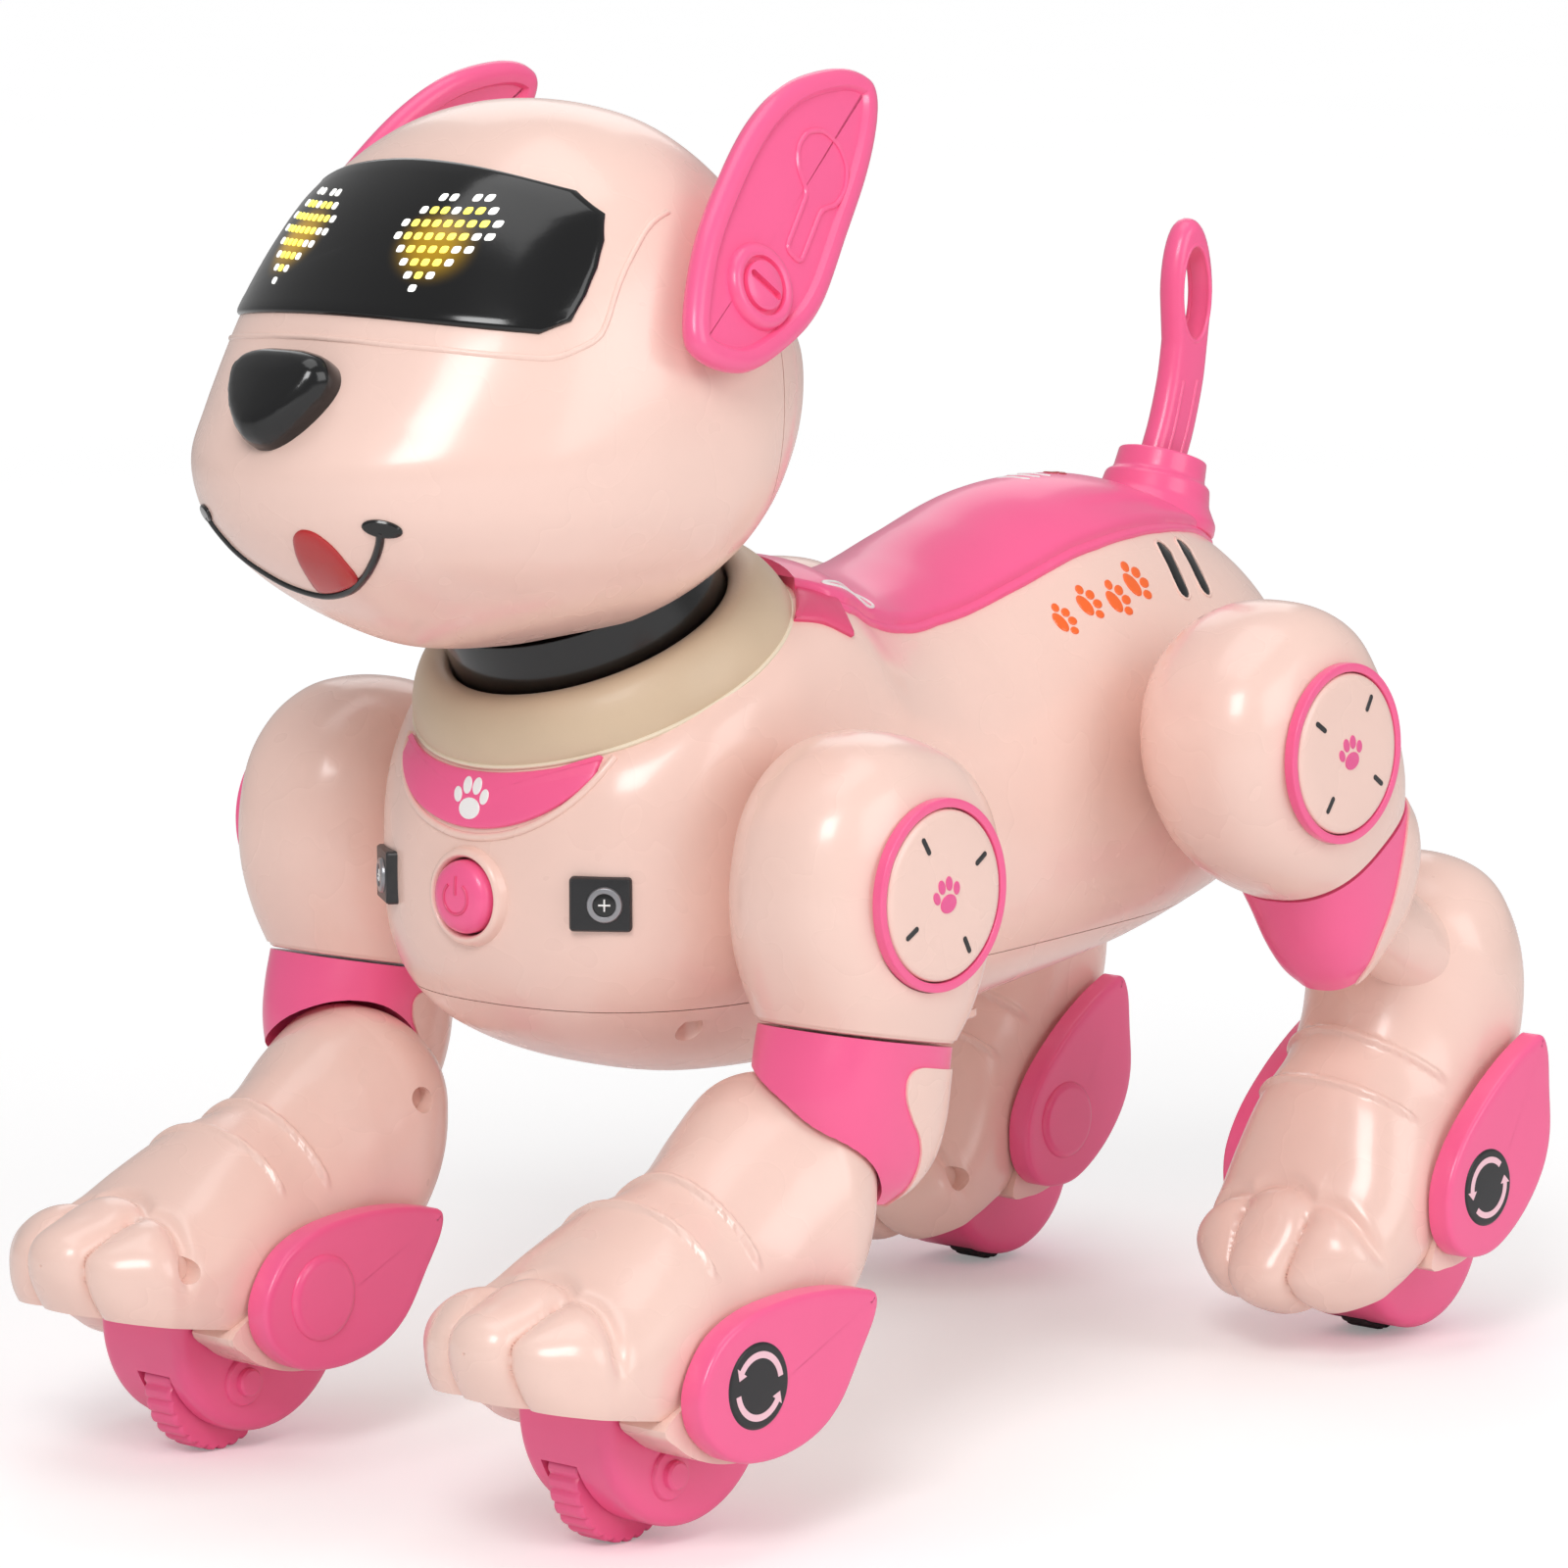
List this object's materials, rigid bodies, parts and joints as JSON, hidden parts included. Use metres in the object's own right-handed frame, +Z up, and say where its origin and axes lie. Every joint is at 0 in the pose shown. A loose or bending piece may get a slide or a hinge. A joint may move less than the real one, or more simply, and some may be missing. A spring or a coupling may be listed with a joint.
{
  "type": "robot dog toy",
  "caption": "Pink and cream robot dog toy with a dark face screen, turning head, hinged ears, wagging looped tail and jointed legs that stand on small rollers.",
  "frame": {"origin": "centre of the footprint of the whole toy's bounding box, on the floor under the rollers", "axes": "+Z up, the dog looks along -Y, its left side is +X"},
  "size_m": [0.1628, 0.2886, 0.2544],
  "materials": {
    "shell_pale": "glossy pale cream-pink moulded plastic",
    "trim_pink": "glossy hot-pink moulded plastic",
    "gloss_black": "polished black plastic",
    "collar_sand": "satin sand-coloured soft plastic",
    "roller_rubber": "dull dark rubber",
    "board_green": "green circuit board",
    "cell_grey": "grey wrapped battery pack"
  },
  "bodies": {
    "body": {"body_shell": "shell_pale", "belly_shell": "shell_pale", "battery_door": "shell_pale", "back_cover": "trim_pink", "neck_ring": "gloss_black", "collar": "collar_sand", "chest_badge": "trim_pink", "sensor_left": "gloss_black", "sensor_right": "gloss_black", "tail_socket": "trim_pink", "battery_pack": "cell_grey", "main_board": "board_green"},
    "head": {"head_front": "shell_pale", "head_rear": "shell_pale", "visor": "gloss_black", "nose": "gloss_black"},
    "ear_l": {"ear_left": "trim_pink"},
    "ear_r": {"ear_right": "trim_pink"},
    "tail": {"tail": "trim_pink"},
    "button": {"power_button": "trim_pink"},
    "front_left_thigh": {"front_left_thigh_shell": "shell_pale", "front_left_thigh_plate": "shell_pale", "front_left_disc_ring": "trim_pink", "front_left_disc_cap": "shell_pale", "front_left_knee_link": "trim_pink"},
    "front_left_foot": {"front_left_foot_shell": "shell_pale", "front_left_cover_outer": "trim_pink", "front_left_cover_inner": "trim_pink", "front_left_wheel_housing": "trim_pink"},
    "front_left_roller": {"front_left_wheel": "trim_pink"},
    "front_right_thigh": {"front_right_thigh_shell": "shell_pale", "front_right_thigh_plate": "shell_pale", "front_right_disc_ring": "trim_pink", "front_right_disc_cap": "shell_pale", "front_right_knee_link": "trim_pink"},
    "front_right_foot": {"front_right_foot_shell": "shell_pale", "front_right_cover_outer": "trim_pink", "front_right_cover_inner": "trim_pink", "front_right_wheel_housing": "trim_pink"},
    "front_right_roller": {"front_right_wheel": "trim_pink"},
    "rear_left_thigh": {"rear_left_thigh_shell": "shell_pale", "rear_left_thigh_plate": "shell_pale", "rear_left_disc_ring": "trim_pink", "rear_left_disc_cap": "shell_pale", "rear_left_knee_link": "trim_pink"},
    "rear_left_foot": {"rear_left_foot_shell": "shell_pale", "rear_left_cover_outer": "trim_pink", "rear_left_cover_inner": "trim_pink", "rear_left_wheel_housing": "trim_pink"},
    "rear_left_roller": {"rear_left_wheel": "roller_rubber"},
    "rear_right_thigh": {"rear_right_thigh_shell": "shell_pale", "rear_right_thigh_plate": "shell_pale", "rear_right_disc_ring": "trim_pink", "rear_right_disc_cap": "shell_pale", "rear_right_knee_link": "trim_pink"},
    "rear_right_foot": {"rear_right_foot_shell": "shell_pale", "rear_right_cover_outer": "trim_pink", "rear_right_cover_inner": "trim_pink", "rear_right_wheel_housing": "trim_pink"},
    "rear_right_roller": {"rear_right_wheel": "roller_rubber"}
  },
  "joints": [
    {"name": "head_turn", "type": "hinge", "parent": "body", "child": "head", "pos_m": [0, -0.0527, 0.1455], "axis": [0, -0.4384, 0.8988], "range_deg": [-25, 25]},
    {"name": "ear_left_tilt", "type": "hinge", "parent": "head", "child": "ear_l", "pos_m": [0.0506, -0.0681, 0.2165], "axis": [0.9659, 0, 0.2588], "range_deg": [-12, 12]},
    {"name": "ear_right_tilt", "type": "hinge", "parent": "head", "child": "ear_r", "pos_m": [-0.0506, -0.0681, 0.2165], "axis": [0.9659, 0, -0.2588], "range_deg": [-12, 12]},
    {"name": "tail_wag", "type": "hinge", "parent": "body", "child": "tail", "pos_m": [0, 0.1098, 0.1635], "axis": [0, 0.9455, -0.3256], "range_deg": [-12, 12]},
    {"name": "power_button_press", "type": "slide", "parent": "body", "child": "button", "axis": [0, 1, 0], "range_m": [0, 0.0015], "stiffness_N_per_m": 400, "springref_m": -0.0005},
    {"name": "front_left_hip", "type": "hinge", "parent": "body", "child": "front_left_thigh", "pos_m": [0.061, -0.0516, 0.1105], "axis": [1, 0, 0], "range_deg": [-12, 12]},
    {"name": "front_left_knee", "type": "hinge", "parent": "front_left_thigh", "child": "front_left_foot", "pos_m": [0.053, -0.0732, 0.0594], "axis": [1, 0, 0], "range_deg": [-10, 10]},
    {"name": "front_left_roll", "type": "hinge", "parent": "front_left_foot", "child": "front_left_roller", "pos_m": [0.051, -0.1052, 0.0138], "axis": [1, 0, 0], "continuous": true},
    {"name": "front_right_hip", "type": "hinge", "parent": "body", "child": "front_right_thigh", "pos_m": [-0.061, -0.0516, 0.1105], "axis": [1, 0, 0], "range_deg": [-12, 12]},
    {"name": "front_right_knee", "type": "hinge", "parent": "front_right_thigh", "child": "front_right_foot", "pos_m": [-0.053, -0.0732, 0.0594], "axis": [1, 0, 0], "range_deg": [-10, 10]},
    {"name": "front_right_roll", "type": "hinge", "parent": "front_right_foot", "child": "front_right_roller", "pos_m": [-0.051, -0.1052, 0.0138], "axis": [1, 0, 0], "continuous": true},
    {"name": "rear_left_hip", "type": "hinge", "parent": "body", "child": "rear_left_thigh", "pos_m": [0.061, 0.0669, 0.1237], "axis": [1, 0, 0], "range_deg": [-12, 12]},
    {"name": "rear_left_knee", "type": "hinge", "parent": "rear_left_thigh", "child": "rear_left_foot", "pos_m": [0.053, 0.1214, 0.0745], "axis": [1, 0, 0], "range_deg": [-10, 10]},
    {"name": "rear_left_roll", "type": "hinge", "parent": "rear_left_foot", "child": "rear_left_roller", "pos_m": [0.051, 0.1178, 0.00926], "axis": [1, 0, 0], "continuous": true},
    {"name": "rear_right_hip", "type": "hinge", "parent": "body", "child": "rear_right_thigh", "pos_m": [-0.061, 0.0669, 0.1237], "axis": [1, 0, 0], "range_deg": [-12, 12]},
    {"name": "rear_right_knee", "type": "hinge", "parent": "rear_right_thigh", "child": "rear_right_foot", "pos_m": [-0.053, 0.1214, 0.0745], "axis": [1, 0, 0], "range_deg": [-10, 10]},
    {"name": "rear_right_roll", "type": "hinge", "parent": "rear_right_foot", "child": "rear_right_roller", "pos_m": [-0.051, 0.1178, 0.00926], "axis": [1, 0, 0], "continuous": true}
  ]
}
